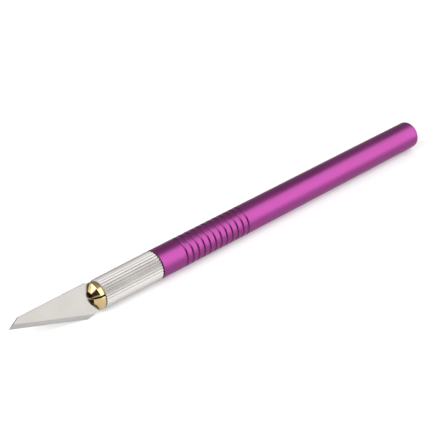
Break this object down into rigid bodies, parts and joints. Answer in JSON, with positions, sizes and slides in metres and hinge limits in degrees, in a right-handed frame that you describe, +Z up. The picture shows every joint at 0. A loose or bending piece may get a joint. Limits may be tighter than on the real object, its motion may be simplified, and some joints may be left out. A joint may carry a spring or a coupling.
{
  "type": "hobby craft knife",
  "caption": "Slim round-handled craft knife: a fluted sleeve draws a split brass collet in to clamp a pointed flat blade; grip rings on the anodised handle.",
  "frame": {"origin": "on the table, below the middle of the knife's length and below its axis, which lies 4 mm up", "axes": "+X along the knife's axis from the blade to the handle's rear end, +Z up from the table, +Y to the right seen from behind the handle; the blade leans so that its heel touches the table on the -Y side"},
  "size_m": [0.1422, 0.008, 0.008],
  "materials": {
    "anodised_violet": "satin violet anodised aluminium",
    "bright_aluminium": "bright machined aluminium with straight flutes",
    "collet_brass": "polished turned brass",
    "blade_steel": "satin flat steel with a ground bevel"
  },
  "bodies": {
    "handle": {"handle_barrel": "anodised_violet"},
    "sleeve": {"chuck_sleeve": "bright_aluminium"},
    "collet": {"collet_stem": "collet_brass"},
    "jaw_1": {"collet_jaw_1": "collet_brass"},
    "jaw_2": {"collet_jaw_2": "collet_brass"},
    "jaw_3": {"collet_jaw_3": "collet_brass"},
    "jaw_4": {"collet_jaw_4": "collet_brass"},
    "blade": {"blade": "blade_steel"}
  },
  "joints": [
    {"name": "sleeve_turn", "type": "hinge", "parent": "handle", "child": "sleeve", "pos_m": [-0.0282, 0, 0.004], "axis": [-1, 0, 0], "range_deg": [0, 720]},
    {"name": "collet_advance", "type": "slide", "parent": "sleeve", "child": "collet", "axis": [-1, 0, 0], "range_m": [0, 0.0014]},
    {"name": "jaw_1_open", "type": "hinge", "parent": "collet", "child": "jaw_1", "pos_m": [-0.03325, -0.00044, 0.00543], "axis": [0, 0.9563, 0.2924], "range_deg": [0, 1.2]},
    {"name": "jaw_2_open", "type": "hinge", "parent": "collet", "child": "jaw_2", "pos_m": [-0.03325, 0.00143, 0.00444], "axis": [0, 0.2924, -0.9563], "range_deg": [0, 1.2]},
    {"name": "jaw_3_open", "type": "hinge", "parent": "collet", "child": "jaw_3", "pos_m": [-0.03325, 0.00044, 0.00257], "axis": [0, -0.9563, -0.2924], "range_deg": [0, 1.2]},
    {"name": "jaw_4_open", "type": "hinge", "parent": "collet", "child": "jaw_4", "pos_m": [-0.03325, -0.00143, 0.00356], "axis": [0, -0.2924, 0.9563], "range_deg": [0, 1.2]},
    {"name": "blade_slide", "type": "slide", "parent": "collet", "child": "blade", "axis": [-1, 0, 0], "range_m": [0, 0.02]}
  ],
  "couplings": [
    {"joint": "sleeve_turn", "follows": "collet_advance", "rad_per_m": 8976},
    {"joint": "jaw_1_open", "follows": "collet_advance", "rad_per_m": 14.96},
    {"joint": "jaw_2_open", "follows": "collet_advance", "rad_per_m": 14.96},
    {"joint": "jaw_3_open", "follows": "collet_advance", "rad_per_m": 14.96},
    {"joint": "jaw_4_open", "follows": "collet_advance", "rad_per_m": 14.96}
  ]
}
